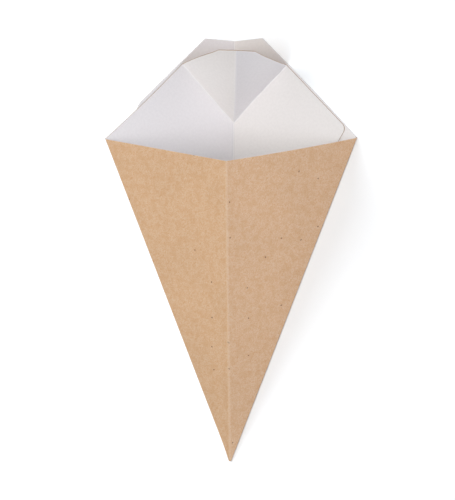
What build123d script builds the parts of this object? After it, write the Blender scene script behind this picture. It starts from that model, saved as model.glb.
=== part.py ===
from build123d import *
import math
import os

# Cone cup for chips, with a sauce pocket in its back wall. It is one board blank, creased, wrapped
# round its point and glued, and it lies on its right back wall.
# From one free end of the blank to the other, its panels are inner right back, inner left back,
# front left, front right, outer right back and outer left back, so the back wall is double.
# Sizes are in millimetres and angles in degrees. An outline is drawn flat, as (across, along):
# across from the front or back fold, and along that fold from the point.

# Board
BOARD = 0.45  # thickness
LAYER_GAP = 0.15  # glue or air between the two layers of the back wall
BEND_RADIUS = 0.4  # of every fold, on its hollow side

# Blank
PANEL_ANGLE = 24.2  # at the point, from a side fold to the front or back fold
SIDE_FOLD = 209.0  # point to side corner
TOP_HALF_WIDTH = 20.0  # level top edge of the outer back wall, to each side of its fold
SHOULDER_SLOPE = 44.9  # outer back wall's sloping edge, from square to the back fold
INNER_SHOULDER_SLOPE = 44.4  # inner back wall's sloping edge, which runs a little lower
INNER_END_FOOT = 80.0  # point to where the inner free end's edge leaves the back fold
INNER_END_ANGLE = 34.0  # from the back fold to that edge
INNER_END_RADIUS = 4.0  # rounded top corner of the inner free end
OUTER_END_FOOT = 63.5  # point to where the outer free end's edge leaves the back fold
OUTER_END_ANGLE = 24.2  # from the back fold to that edge
OUTER_END_RADIUS = 7.5  # rounded top corner of the outer free end
POINT_DEPTH = 5.0  # of the point, where all the folds meet and the board is pressed closed

# Sauce pocket, folded forward out of the inner back wall
POCKET_ROOT = 206.0  # point of the cup to the pocket's lowest point, along the back fold
POCKET_FOLD_ANGLE = 46.9  # from the back fold to each pocket fold, on the flat blank
LIP_HALF_WIDTH = 12.8  # top of the pocket's lip, to each side of its fold
LIP_PEAK = 267.7  # point of the cup to the lip, along the pocket's own fold

# Opening
HALF_DEPTH_ANGLE = 12.6  # from the cup's axis to its front or back fold, as far as it is opened

# Glue strips, one under each free end
GLUE_WIDTH = 12.0
GLUE_MARGIN = 3.0  # bare board between a free end's edge and its glue
GLUE_END_MARGIN = 20.0  # bare board before the glue starts at the back fold, and after it stops

# The opened cup, before it is laid down: its point is the origin, +Z is its axis and its front
# faces -Y. The panels stay flat, so its depth sets how wide it stands.
RIGHT = 1
LEFT = -1
slant = math.radians(PANEL_ANGLE)
half_depth = math.radians(HALF_DEPTH_ANGLE)
half_width = math.acos(math.cos(slant) / math.cos(half_depth))
side_lines = {
    side: Vector(side * math.sin(half_width), 0, math.cos(half_width)) for side in (RIGHT, LEFT)
}
front_line = Vector(0, -math.sin(half_depth), math.cos(half_depth))
back_line = Vector(0, math.sin(half_depth), math.cos(half_depth))
inward = side_lines[RIGHT].cross(back_line).normalized()
room = 2 * LIP_PEAK  # longer than the cup, for cutting shapes
cut_depth = 10 * BOARD  # deeper than a wall, for cutting outlines
overlap = BEND_RADIUS + 2 * BOARD  # past a fold, so that an outline takes in its half of the bend

# The outer wrap of the blank is the inner one, slid down the front fold: its front walls stay in
# their planes, and its back walls move out by one layer.
slide_per_layer = -front_line / front_line.dot(inward)
outer_slide = slide_per_layer * (BOARD + LAYER_GAP)
outer_side_fold = SIDE_FOLD + outer_slide.length / math.cos(slant)
shoulder_fall = math.tan(math.radians(SHOULDER_SLOPE))
inner_shoulder_fall = math.tan(math.radians(INNER_SHOULDER_SLOPE))


def flat_point(length):
    """Where a side fold of this length ends on a flat panel."""
    return (length * math.sin(slant), length * math.cos(slant))


inner_corner = flat_point(SIDE_FOLD)
outer_corner = flat_point(outer_side_fold)

# Each free end as its foot on the back fold, its turn from that fold, and its corner's radius
inner_end = (INNER_END_FOOT, math.radians(INNER_END_ANGLE), INNER_END_RADIUS)
outer_end = (OUTER_END_FOOT, math.radians(OUTER_END_ANGLE), OUTER_END_RADIUS)


def wall_plane(side, fold_line):
    """The plane of a wall's white face, with x across it and y along its fold."""
    edge = side_lines[side]
    across = (edge - fold_line * edge.dot(fold_line)).normalized()
    return Plane(origin=(0, 0, 0), x_dir=across, z_dir=across.cross(fold_line))


def polygon_face(*points):
    """A flat face with these corners."""
    return Face(Wire.make_polygon(points, close=True))


def bent_board():
    """The four walls as one bent board, white face inside, before it is cut to its outline.

    Each fold's arc is centred on an edge of the core, and the point is rounded about its tip."""
    core_point = Vector(0, 0, BEND_RADIUS / inward.Z)
    lines = (side_lines[RIGHT], back_line, side_lines[LEFT], front_line)
    corners = [core_point + line * (room / line.Z) for line in lines]
    walls = [polygon_face(core_point, corners[i - 1], corners[i]) for i in range(len(corners))]
    core = Solid(Shell([*walls, polygon_face(*corners)]))
    return offset(core, BEND_RADIUS + BOARD) - offset(core, BEND_RADIUS)


def panel(board, side, fold_line, outline):
    """One panel of a bent board, with its half of each bend, cut to an outline on its wall."""
    side_align = Align.MIN if side == RIGHT else Align.MAX
    depth_align = Align.MIN if fold_line is back_line else Align.MAX
    quarter = Box(room, room, 2 * room, align=(side_align, depth_align, Align.CENTER))
    cut = extrude(wall_plane(side, fold_line) * outline, cut_depth, both=True)
    return board & quarter & cut


def front_outline(corner):
    """A front panel, with its edge square to the front fold."""
    return make_face(
        Polyline(
            (-overlap, -overlap),
            (corner[0] + overlap, -overlap),
            (corner[0] + overlap, corner[1]),
            (-overlap, corner[1]),
            close=True,
        )
    )


def shoulder_height(across, corner, fall):
    """How far along a sloping edge lies, where it rises from a side corner."""
    return corner[1] + (corner[0] - across) * fall


def end_across(along, end, inset=0):
    """How far across a free end's edge lies, or a line parallel to it, in from it by the inset."""
    foot, turn, _ = end
    return (along - foot) * math.tan(turn) - inset / math.cos(turn)


def end_corner(corner, fall, end):
    """Where a free end's edge meets the sloping edge."""
    _, turn, _ = end
    start = shoulder_height(0, corner, fall)
    across = end_across(start, end) / (1 + fall * math.tan(turn))
    return (across, shoulder_height(across, corner, fall))


def back_outline(corner, fall, top):
    """A back panel that runs from its back fold to its side fold."""
    return make_face(
        Polyline(
            (-overlap, -overlap),
            (corner[0] + overlap, -overlap),
            (corner[0] + overlap, shoulder_height(corner[0] + overlap, corner, fall)),
            *top,
            close=True,
        )
    )


def end_outline(corner, fall, end, top):
    """A back panel that runs from its back fold to a free end with a rounded corner."""
    foot, turn, radius = end
    tip = end_corner(corner, fall, end)
    start = (-overlap, foot - overlap / math.tan(turn))
    outline = make_face(Polyline(start, tip, *top, close=True))
    return fillet(outline.vertices().sort_by_distance((*tip, 0))[0], radius)


def outer_top():
    """The outer back wall's level top, from its shoulder to its back fold."""
    height = shoulder_height(TOP_HALF_WIDTH, outer_corner, shoulder_fall)
    return [(TOP_HALF_WIDTH, height), (-overlap, height)]


def inner_top():
    """The inner back wall's sloping edge, run on to its back fold over the pocket."""
    return [(-overlap, shoulder_height(-overlap, inner_corner, inner_shoulder_fall))]


def lip_top():
    """The pocket's lip, from the sloping edge to the pocket's own fold."""
    lip_end = (LIP_HALF_WIDTH, shoulder_height(LIP_HALF_WIDTH, inner_corner, inner_shoulder_fall))
    return [lip_end, (0, LIP_PEAK), (-overlap, LIP_PEAK)]


def outer_wrap(board):
    """Front right, outer right back and outer left back panels, and the closed point."""
    front = panel(board, RIGHT, front_line, front_outline(outer_corner))
    right = panel(board, RIGHT, back_line, back_outline(outer_corner, shoulder_fall, outer_top()))
    left_outline = end_outline(outer_corner, shoulder_fall, outer_end, outer_top())
    left = panel(board, LEFT, back_line, left_outline)
    point = board & Box(room, room, POINT_DEPTH, align=(Align.CENTER, Align.CENTER, Align.MIN))
    return Pos(*outer_slide) * (front + right + left + point)


def pocket_fold(side):
    """The direction of a pocket fold, up from the pocket's root."""
    turn = math.radians(POCKET_FOLD_ANGLE)
    wall = wall_plane(side, back_line)
    return wall.x_dir * math.sin(turn) + wall.y_dir * math.cos(turn)


def pocket_corner(side, pocket_plane):
    """The board bent round one pocket fold, and the rod of space round that fold where it is used.

    The back wall runs away from the fold, and the pocket's wall is its mirror image, run on
    through the fold. The bend is centred on the edge of a wedge on the white side of both."""
    fold = pocket_fold(side)
    away = fold.cross(wall_plane(side, back_line).z_dir)
    forward = pocket_plane.z_dir * (2 * away.dot(pocket_plane.z_dir)) - away
    start = pocket_plane.origin - fold * overlap
    edge = start + (away + forward) * (BEND_RADIUS / away.cross(forward).length)
    reach = 10 * overlap
    wedge = extrude(polygon_face(edge, edge + away * reach, edge + forward * reach), room, dir=fold)
    bend = offset(wedge, BEND_RADIUS + BOARD) - offset(wedge, BEND_RADIUS)
    rod = extrude(Plane(origin=start, z_dir=fold) * Circle(overlap), room / 2)
    return bend, rod


def inner_wrap(board):
    """Front left, inner left back and inner right back panels, and the pocket.

    The pocket's wall is what the back wall would be above the pocket folds, mirrored in their
    plane. Its white face stays in the mirrored plane, so its board lies behind that face."""
    folds = [pocket_fold(side) for side in (RIGHT, LEFT)]
    root = back_line * POCKET_ROOT
    pocket_plane = Plane(origin=root, x_dir=(1, 0, 0), z_dir=folds[0].cross(folds[1]))
    mouth_face = polygon_face(root, root + folds[0] * room, root + folds[1] * room)
    mouth = extrude(mouth_face, room, both=True)
    wrap = panel(board, LEFT, front_line, front_outline(inner_corner))
    outlines = {
        RIGHT: end_outline(inner_corner, inner_shoulder_fall, inner_end, inner_top()),
        LEFT: back_outline(inner_corner, inner_shoulder_fall, inner_top()),
    }
    pocket_outline = back_outline(inner_corner, inner_shoulder_fall, lip_top())
    turned_board = Pos(*(slide_per_layer * -BOARD)) * board
    for side in (RIGHT, LEFT):
        bend, rod = pocket_corner(side, pocket_plane)
        turned_bend = mirror(bend, about=pocket_plane)
        wall_board = (board - rod) + (bend & rod)
        pocket_board = (turned_board - rod) + (turned_bend & rod)
        wrap += panel(wall_board, side, back_line, outlines[side]) - mouth
        pocket_wall = panel(pocket_board, side, back_line, pocket_outline) & mouth
        wrap += mirror(pocket_wall, about=pocket_plane)
    return wrap


def glue_strip(side, corner, fall, end):
    """Glue beside a free end's edge, on the white face of the outer layer."""
    foot, turn, _ = end
    near = GLUE_MARGIN
    far = near + GLUE_WIDTH
    top = end_corner(corner, fall, end)[1] - GLUE_END_MARGIN
    bottom = foot + far / math.sin(turn) + GLUE_END_MARGIN
    outline = make_face(
        Polyline(
            (end_across(top, end, near), top),
            (end_across(top, end, far), top),
            (end_across(bottom, end, far), bottom),
            (end_across(bottom, end, near), bottom),
            close=True,
        )
    )
    towards_inside = Vector(side * inward.X, inward.Y, inward.Z)
    strip = extrude(wall_plane(side, back_line) * outline, LAYER_GAP, dir=towards_inside)
    return Pos(*outer_slide) * strip


def laid_down(cup):
    """The cup on its outer right back wall, with its mouth towards +Y and its middle at X 0, Y 0."""
    axis = Vector(0, 0, 1)
    forward = (axis - inward * axis.dot(inward)).normalized()
    rest = Plane(origin=(0, 0, 0), x_dir=forward.cross(inward), z_dir=inward)
    lying = rest.to_local_coords(cup)
    box = lying.bounding_box()
    return Pos(-box.center().X, -box.center().Y, -box.min.Z) * lying


board = bent_board()
cup = outer_wrap(board) + inner_wrap(board)
cup += glue_strip(RIGHT, inner_corner, inner_shoulder_fall, inner_end)
cup += glue_strip(LEFT, outer_corner, shoulder_fall, outer_end)

os.makedirs("parts", exist_ok=True)
export_step(laid_down(cup), "parts/folded_board_cone.step")
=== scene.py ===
import math
from types import SimpleNamespace

import bpy
import numpy as np
from bpy.props import FloatProperty, FloatVectorProperty, PointerProperty
from bpy.types import Operator, Panel, PropertyGroup
from mathutils import Matrix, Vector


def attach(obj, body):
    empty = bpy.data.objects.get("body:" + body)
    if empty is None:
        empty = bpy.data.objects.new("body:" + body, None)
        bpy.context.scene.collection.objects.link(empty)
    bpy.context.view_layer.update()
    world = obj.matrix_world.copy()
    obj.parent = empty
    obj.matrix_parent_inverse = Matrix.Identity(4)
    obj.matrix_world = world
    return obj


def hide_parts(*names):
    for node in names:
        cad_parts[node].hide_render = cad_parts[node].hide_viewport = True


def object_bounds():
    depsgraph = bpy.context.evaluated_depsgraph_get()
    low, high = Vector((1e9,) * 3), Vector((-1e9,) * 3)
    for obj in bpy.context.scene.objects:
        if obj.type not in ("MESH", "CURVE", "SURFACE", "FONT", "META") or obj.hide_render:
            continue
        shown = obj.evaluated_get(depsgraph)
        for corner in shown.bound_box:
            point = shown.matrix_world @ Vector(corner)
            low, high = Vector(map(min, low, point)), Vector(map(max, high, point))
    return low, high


bl_info = {
    "name": "Folded board cone",
    "version": (1, 0, 0),
    "blender": (4, 5, 0),
    "location": "3D View > Sidebar > Board Cone",
    "description": "A folded kraft board cone with a sauce pocket, and a small studio for it",
    "category": "Add Mesh",
}

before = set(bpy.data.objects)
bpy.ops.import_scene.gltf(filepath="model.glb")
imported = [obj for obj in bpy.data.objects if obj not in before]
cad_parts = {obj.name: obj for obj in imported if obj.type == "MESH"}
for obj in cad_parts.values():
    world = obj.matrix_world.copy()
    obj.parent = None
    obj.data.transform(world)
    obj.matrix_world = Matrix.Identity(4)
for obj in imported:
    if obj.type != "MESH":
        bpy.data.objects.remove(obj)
cad_low, cad_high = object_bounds()

NODE = "folded_board_cone"
MM = 0.001
RIGHT = 1
LEFT = -1
SIDES = (RIGHT, LEFT)


# Sizes and colours

def length_setting(name, description, default):
    """A length in metres."""
    return FloatProperty(name=name, description=description, default=default, unit="LENGTH")


def angle_setting(name, description, degrees):
    """An angle, given in degrees."""
    default = math.radians(degrees)
    return FloatProperty(name=name, description=description, default=default, subtype="ANGLE")


def power_setting(name, description, default):
    """A light's power in watts."""
    return FloatProperty(name=name, description=description, default=default, unit="POWER")


def colour_setting(name, description, default):
    """A colour, as its shares of red, green and blue."""
    return FloatVectorProperty(
        name=name, description=description, default=default, subtype="COLOR", min=0, max=1
    )


class ConeBoard(PropertyGroup):
    """The board that the cone is folded from."""

    thickness: length_setting("Thickness", "Thickness of the board", 0.45 * MM)
    layer_gap: length_setting(
        "Layer gap", "Glue or air between the two layers of the back wall", 0.15 * MM
    )
    bend_radius: length_setting("Bend radius", "Radius of every fold on its hollow side", 0.4 * MM)
    bow: length_setting("Bow", "How far a panel bows between its folds", 0.3 * MM)
    crush: length_setting(
        "Crushed cut", "How far the white face stands back from the brown at a cut", 0.22 * MM
    )
    bead: length_setting(
        "Crease bead", "Height of the raised line that a crease leaves on the white side", 0.1 * MM
    )


class ConeBlank(PropertyGroup):
    """The outline of the flat blank, and how far the cone is opened."""

    panel_angle: angle_setting(
        "Panel angle", "Angle at the point from a side fold to the next fold", 24.2
    )
    half_depth_angle: angle_setting("Opening", "Angle from the axis to the front or back fold", 12.6)
    side_fold: length_setting("Side fold", "Length from the point to the side corner", 209 * MM)
    top_half_width: length_setting(
        "Top half width", "Level top edge of the back wall, to each side of its fold", 20 * MM
    )
    shoulder_slope: angle_setting("Shoulder slope", "Slope of the outer back wall's edge", 44.9)
    inner_shoulder_slope: angle_setting(
        "Inner shoulder slope", "Slope of the inner back wall's edge", 44.4
    )
    inner_end_foot: length_setting(
        "Inner end foot", "Point to where the inner free end leaves the back fold", 80 * MM
    )
    inner_end_angle: angle_setting(
        "Inner end angle", "Angle from the back fold to the inner free end", 34
    )
    inner_end_radius: length_setting(
        "Inner end radius", "Rounding of the inner free end's top corner", 4 * MM
    )
    outer_end_foot: length_setting(
        "Outer end foot", "Point to where the outer free end leaves the back fold", 63.5 * MM
    )
    outer_end_angle: angle_setting(
        "Outer end angle", "Angle from the back fold to the outer free end", 24.2
    )
    outer_end_radius: length_setting(
        "Outer end radius", "Rounding of the outer free end's top corner", 7.5 * MM
    )


class ConePocket(PropertyGroup):
    """The sauce pocket that is folded forward out of the inner back wall."""

    root: length_setting("Root", "Length from the cone's point to the pocket's lowest point", 206 * MM)
    fold_angle: angle_setting("Fold angle", "Angle from the back fold to each pocket fold", 46.9)
    lip_half_width: length_setting(
        "Lip half width", "Top of the lip, to each side of its fold", 12.8 * MM
    )
    lip_peak: length_setting(
        "Lip peak", "Length from the cone's point to the lip along its fold", 267.7 * MM
    )
    lip_lean: length_setting("Lip lean", "How far the lip leans to the right", 3.2 * MM)


class ConeFinish(PropertyGroup):
    """Colours of the board."""

    kraft: colour_setting("Kraft", "Main colour of the brown outside", (0.642, 0.37, 0.2))
    kraft_light: colour_setting(
        "Kraft light", "Pale fibres of the brown outside", (0.702, 0.52, 0.35)
    )
    kraft_dark: colour_setting("Kraft dark", "Dark fibres of the brown outside", (0.58, 0.31, 0.14))
    white: colour_setting("White", "Main colour of the white inside", (0.84, 0.812, 0.8))
    core: colour_setting("Core", "Brown core that shows at the cut edges", (0.45, 0.31, 0.2))


class ConeStudio(PropertyGroup):
    """Light and floor."""

    sky: FloatProperty(
        name="Sky", description="Strength of the even light from all round", default=0.1
    )
    right: power_setting("Right", "Power of the low light at the right", 10.8)
    left: power_setting("Left", "Power of the low light at the left", 2.9)
    mouth: power_setting("Mouth", "Power of the light beyond the mouth", 2.2)
    point: power_setting("Point", "Power of the light beyond the point", 6.1)
    high: power_setting("High", "Power of the light overhead", 13.4)
    ground: power_setting("Ground", "Power of the light for the floor alone", 8.5)
    glow: FloatProperty(name="Glow", description="Light that the floor gives out", default=0.09)
    floor: colour_setting("Floor", "Colour of the floor", (0.92, 0.95, 0.995))


# Directions and corners of the standing cone, with its point at the origin and its front to -Y

def unit(vector):
    """A vector, or each vector of an array, divided by its length."""
    return vector / np.linalg.norm(vector, axis=-1, keepdims=True)


def angle_between(first, last):
    """Angle between two directions of length one: the arc cosine of their product."""
    return math.acos(float(np.clip(first @ last, -1, 1)))


def turned(first, last, steps):
    """Directions from first to last in even steps: each is both, weighed by the sines of the angle
    still to go and the angle gone, divided by the sine of the whole angle."""
    whole = angle_between(first, last)
    gone = np.asarray(steps)[:, None] * whole
    return (np.sin(whole - gone) * first + np.sin(gone) * last) / math.sin(whole)


def meet(point, way, other_point, other_way):
    """Where two flat lines cross: the first point plus its way times the solved factor."""
    factors = np.linalg.solve(np.column_stack([way, -other_way]), other_point - point)
    return point + way * factors[0]


def wall(side_line, fold_line):
    """A wall's directions: across it, along its fold, and out of its brown face."""
    across = unit(side_line - fold_line * (side_line @ fold_line))
    kraft = unit(np.cross(across, fold_line))
    return SimpleNamespace(across=across, along=fold_line, kraft=-kraft * np.sign(kraft[2]))


def cone_form(board, blank, pocket):
    """Every direction and flat corner of the folded blank, from its named sizes.

    A wall's flat corners are (across, along) on its white face, from the front or back fold."""
    f = SimpleNamespace(board=board, blank=blank, pocket=pocket)
    slant = blank.panel_angle
    half_depth = blank.half_depth_angle
    half_width = math.acos(math.cos(slant) / math.cos(half_depth))
    f.side = {s: np.array([s * math.sin(half_width), 0, math.cos(half_width)]) for s in SIDES}
    f.front = np.array([0, -math.sin(half_depth), math.cos(half_depth)])
    f.back = np.array([0, math.sin(half_depth), math.cos(half_depth)])
    f.front_wall = {s: wall(f.side[s], f.front) for s in SIDES}
    f.back_wall = {s: wall(f.side[s], f.back) for s in SIDES}
    right_back = f.back_wall[RIGHT]
    f.back_middle = unit(right_back.kraft + f.back_wall[LEFT].kraft)
    f.to_mid = board.bend_radius + board.thickness / 2
    f.outer_radius = board.bend_radius + board.thickness
    half_turn = angle_between(right_back.kraft, f.back_wall[LEFT].kraft) / 2
    f.ridge = f.outer_radius * math.tan(half_turn)
    f.fold_half = f.outer_radius * half_turn
    f.side_half = f.outer_radius * angle_between(right_back.kraft, f.front_wall[RIGHT].kraft) / 2
    inward = -right_back.kraft
    f.slide = -f.front / (f.front @ inward) * (board.thickness + board.layer_gap)
    f.core = np.array([0, 0, board.bend_radius / inward[2]])
    f.outer_core = f.core + f.slide
    start = f.core + board.bend_radius * right_back.kraft
    f.start = np.array([start @ right_back.across, start @ f.back])
    f.slant_way = np.array([math.sin(slant), math.cos(slant)])
    f.corner = blank.side_fold * f.slant_way
    drop = np.linalg.norm(f.slide)
    f.outer_corner = f.corner + np.array([drop * math.tan(slant), drop])
    add_rims(f)
    add_pocket(f)
    return f


def add_rims(f):
    """Flat corners of the front rim, and of the outer back wall's top edge and free end."""
    blank = f.blank
    level = np.array([1.0, 0.0])
    corners = {LEFT: f.corner, RIGHT: f.outer_corner}
    f.rim_middle = {s: np.array([f.start[0], corners[s][1]]) for s in SIDES}
    f.rim_side = {s: meet(f.start, f.slant_way, corners[s], level) for s in SIDES}
    fall = math.tan(blank.shoulder_slope)
    slope = np.array([-1.0, fall])
    half = blank.top_half_width
    height = f.outer_corner[1] + (f.outer_corner[0] - half) * fall
    f.top_middle = np.array([f.start[0], height])
    f.top_end = np.array([half, height])
    f.outer_side = meet(f.start, f.slant_way, f.outer_corner, slope)
    f.outer_end = free_end(
        f, f.outer_corner, slope, blank.outer_end_foot, blank.outer_end_angle, blank.outer_end_radius
    )


def free_end(f, corner, slope, foot_length, turn, radius):
    """A free end: its foot on the back fold, and the points of its rounded corner.

    Its edge leaves the back fold at its foot, turned from the fold by its angle. The corner's
    points lie on a circle that touches both edges, in even turns from one to the other."""
    foot = np.array([f.start[0], foot_length + f.start[0] / math.tan(turn)])
    down = -np.array([math.sin(turn), math.cos(turn)])
    tip = meet(foot, down, corner, slope)
    up = unit(slope)
    half_angle = angle_between(up, down) / 2
    centre = tip + unit(up + down) * radius / math.sin(half_angle)
    first = unit(tip + up * radius / math.tan(half_angle) - centre)
    last = unit(tip + down * radius / math.tan(half_angle) - centre)
    return SimpleNamespace(foot=foot, arc=centre + radius * turned(first, last, ROUND_CORNER))


def add_pocket(f):
    """The pocket's plane of mirroring, its folds, and the flat corners round them."""
    blank = f.blank
    root = f.pocket.root
    sine, cosine = math.sin(f.pocket.fold_angle), math.cos(f.pocket.fold_angle)
    f.fold_way = np.array([sine, cosine])
    f.root = f.back * root
    f.pocket_fold = {s: f.back_wall[s].across * sine + f.back * cosine for s in SIDES}
    f.mirror_way = unit(np.cross(f.pocket_fold[RIGHT], f.pocket_fold[LEFT]))
    f.flap_kraft = {s: -mirrored(f, f.back_wall[s].kraft) for s in SIDES}
    f.pocket_half_turn = angle_between(f.back_wall[RIGHT].kraft, f.flap_kraft[RIGHT]) / 2
    set_back = f.board.bend_radius * math.tan(f.pocket_half_turn)
    fall = math.tan(blank.inner_shoulder_slope)
    slope = np.array([-1.0, fall])
    f.wall_root = np.array([f.start[0], root + (f.start[0] * cosine - set_back) / sine])
    f.flap_root = np.array([f.ridge, root + (f.ridge * cosine + set_back) / sine])
    f.wall_end = meet(f.wall_root, f.fold_way, f.corner, slope)
    f.flap_end = meet(f.flap_root, f.fold_way, f.corner, slope)
    half = f.pocket.lip_half_width
    f.lip_end = np.array([half, f.corner[1] + (f.corner[0] - half) * fall])
    lip_fall = (f.pocket.lip_peak - f.lip_end[1]) / half
    f.lip_middle = np.array([f.ridge, f.pocket.lip_peak - f.ridge * lip_fall])
    f.inner_side = meet(f.start, f.slant_way, f.corner, slope)
    f.inner_end = free_end(
        f, f.corner, slope, blank.inner_end_foot, blank.inner_end_angle, blank.inner_end_radius
    )


def mirrored(f, directions):
    """Directions turned over in the plane of the two pocket folds: each less twice its part along
    that plane's normal."""
    return directions - 2 * (directions @ f.mirror_way)[..., None] * f.mirror_way


# Steps of the sheet's grids

# Close points beside an end of an edge, and the share of the height down to which they keep apart
NEAR = np.array([0.25, 0.5, 0.75, 1.0, 1.4, 2.0]) * MM
HUG = 0.35
NEAR_ROOM = 1.1

# Distance between points along an edge, and one that is out of reach of every crease's look
SPAN = 4.5 * MM
FAR = 50 * MM
SAME_PLACE = 1e-8

# Shares of the way round half a back fold, a fold, a side fold, a rounded corner and the point
HALF_BEND = np.linspace(0, 1, 4)
BEND = np.linspace(0, 1, 7)
SIDE_BEND = np.linspace(0, 1, 9)
ROUND_CORNER = np.linspace(0, 1, 9)
POINT_STEPS = np.linspace(0, 1, 6)

# Steps up a pocket crease, and how many of them are below the lip rather than the flap's slope
POCKET_STEPS = 16
LIP_STEPS = 5

# Rows from the point to the rim: shares of the height, and distances below the rim
LOW_ROWS = [0, 0.004, 0.01, 0.02, 0.035, 0.05]
WALL_ROWS = np.linspace(0.07, 0.975, 46)
RIM_ROWS = np.array([0, 0.3, 0.6, 1.0, 1.6, 2.4]) * MM
ROW_GAP = 0.004
FLAP_ROWS = np.concatenate([
    [0, 0.006, 0.015, 0.03, 0.05], np.linspace(0.08, 0.94, 18), [0.96, 0.975, 0.985, 0.993, 1]
])

# Length up from the point over which the inner wrap leads down to the outer one
MERGE_LENGTH = 15 * MM

# How the lip's lean grows: the power of its share up the flap, and of its share along the edge
LEAN_UP = 0.8
LEAN_ACROSS = 0.7

# Folds between two walls, by their turn from the front fold on the blank in panel angles
INNER_BACK = -2
FRONT = 0
OUTER_BACK = 2

# How far a hand-cut slope sags toward the point at its middle, in millimetres
SAGS = {
    (INNER_BACK, RIGHT): -0.28,
    (INNER_BACK, LEFT): 0.84,
    (FRONT, LEFT): 0.0,
    (FRONT, RIGHT): 0.56,
    (OUTER_BACK, RIGHT): -0.64,
    (OUTER_BACK, LEFT): -0.48,
}
FLAP_SAG = {RIGHT: 0.8, LEFT: 0.0}


def spaced(corners):
    """Points along a line of corners: close together at its ends, evenly spaced between, with every
    corner kept. Also which points belong to the first and the last end."""
    corners = np.asarray(corners)
    gaps = np.linalg.norm(np.diff(corners, axis=0), axis=1)
    marks = np.concatenate([[0], np.cumsum(gaps)])
    total = marks[-1]
    margin = NEAR[-1] / HUG + SPAN / 2
    count = max(2, int(round((total - 2 * margin) / SPAN)))
    even = np.linspace(margin, total - margin, count + 1)
    clear = np.abs(even[:, None] - marks[None, 1:-1]).min(axis=1, initial=1) > SPAN / 4
    places = [[0], NEAR, even[clear], marks[1:-1], total - NEAR, [total]]
    places = np.unique(np.round(np.concatenate(places), 9))
    points = np.column_stack([np.interp(places, marks, corners[:, i]) for i in (0, 1)])
    first = places <= NEAR[-1] + SAME_PLACE
    last = places >= total - NEAR[-1] - SAME_PLACE
    return points, first, last


def fan(start, ends, rows, first=None, last=None):
    """A grid of straight lines from one point to each point of an edge, row by row.

    Lines that belong to an end keep their distance from that end's line down to a share of the way,
    HUG, and close up evenly below."""
    spread = rows[:, None, None]
    grid = start + spread * (ends - start)
    kept = np.minimum(1, rows / HUG)[:, None, None]
    for near, line in ((first, ends[0]), (last, ends[-1])):
        if near is not None:
            grid[:, near] = (start + spread * (line - start) + kept * (ends - line))[:, near]
    return grid


def distance_to(points, corners):
    """Distance of flat points from a line of corners: the least over its runs of the distance to
    the nearest point of that run."""
    corners = np.asarray(corners)
    start = corners[:-1]
    run = corners[1:] - start
    offset = points[..., None, :] - start
    part = np.clip((offset * run).sum(-1) / (run * run).sum(-1), 0, 1)
    return np.linalg.norm(offset - part[..., None] * run, axis=-1).min(axis=-1)


def slope_wave(points, first, last):
    """How far each point of an outline has its slope's hand-made curve: half a sine wave of the part
    of the way across from the slope's first corner to its last, and nothing elsewhere."""
    part = (points[:, 0] - first[0]) / (last[0] - first[0])
    return np.sin(math.pi * np.clip(part, 0, 1))


def between(first, last, steps):
    """Columns that lead evenly from one column to another."""
    steps = steps.reshape((1, -1) + (1,) * (first.ndim - 1))
    return first[:, None] * (1 - steps) + last[:, None] * steps


def column(patch, index):
    """One column of a patch: its points, blank places and fields."""
    mid, blank, fields = patch
    return mid[:, index], blank[:, index], [a[:, index] for a in fields]


def wrap_rows(f):
    """Heights of the rows from the point to the rim, closer near the rim, and one at each foot of a
    free end."""
    ends = ((f.inner_end, f.wall_root), (f.outer_end, f.top_middle))
    feet = [(end.foot[1] - f.start[1]) / (top[1] - f.start[1]) for end, top in ends]
    clear = np.abs(WALL_ROWS[:, None] - np.array(feet)).min(axis=1) > ROW_GAP
    rim = 1 - RIM_ROWS / f.blank.side_fold
    rows = np.unique(np.concatenate([LOW_ROWS, WALL_ROWS[clear], rim, feet]))
    for foot, (end, _) in zip(feet, ends):
        end.row = int(np.abs(rows - foot).argmin())
    return rows


def rows_from(rows, foot):
    """The rows above a free end's foot, as shares of the height from there."""
    return (rows[foot:] - rows[foot]) / (1 - rows[foot])


# The sheet: its walls, its folds, the closed point and the pocket

class Sheet:
    """The folded board as patches that share their edges, until they are welded.

    A patch has the middle of the board, the way out of its brown face, its place on the flat blank,
    and fields: its distances from the nearest crease, pocket crease and cut edge, and its shares of
    the lip's lean and of a slope's sag."""

    def __init__(self, form):
        self.form = form
        self.patches = []
        self.rows = wrap_rows(form)
        self.up = self.rows[:, None]
        self.merging = np.maximum(0, 1 - self.up * form.blank.side_fold / MERGE_LENGTH) ** 2

    def add(self, mid, kraft, blank, crease, pocket_crease, edge, lean=0.0, sag=0.0):
        """Keep one grid of points, with everything spread out to the grid's shape."""
        shape = mid.shape[:2]
        kraft = np.broadcast_to(kraft, mid.shape)
        fields = [np.broadcast_to(a, shape) for a in (crease, pocket_crease, edge, lean, sag)]
        self.patches.append((mid, kraft, blank, fields))
        return mid, blank, fields


def blank_place(f, flat, fold, side):
    """Flat wall points on the one flat blank: along the fold's own direction there, and across it to
    the side that the wall is on. Beside the back folds that side is the other one on the blank."""
    angle = fold * f.blank.panel_angle
    way = side if fold == FRONT else -side
    along = np.array([math.sin(angle), math.cos(angle)])
    across = way * np.array([math.cos(angle), -math.sin(angle)])
    return flat[..., :1] * across + flat[..., 1:] * along


def crease_distance(f, flat):
    """Distance from the middle of the nearest crease: from the line where a bend starts, plus half
    of that bend's outer length."""
    offset = flat - f.start
    to_side = offset[..., 1] * f.slant_way[0] - offset[..., 0] * f.slant_way[1]
    return np.minimum(offset[..., 0] + f.fold_half, to_side + f.side_half)


def above_pocket_fold(f, flat):
    """How far flat points are beyond the pocket fold, at right angles to it."""
    sine, cosine = f.fold_way
    return (flat[..., 1] - f.pocket.root) * sine - flat[..., 0] * cosine


def on_wall(a_wall, flat):
    """Flat points on a wall's white face: across it and along its fold."""
    return flat[..., :1] * a_wall.across + flat[..., 1:] * a_wall.along


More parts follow.
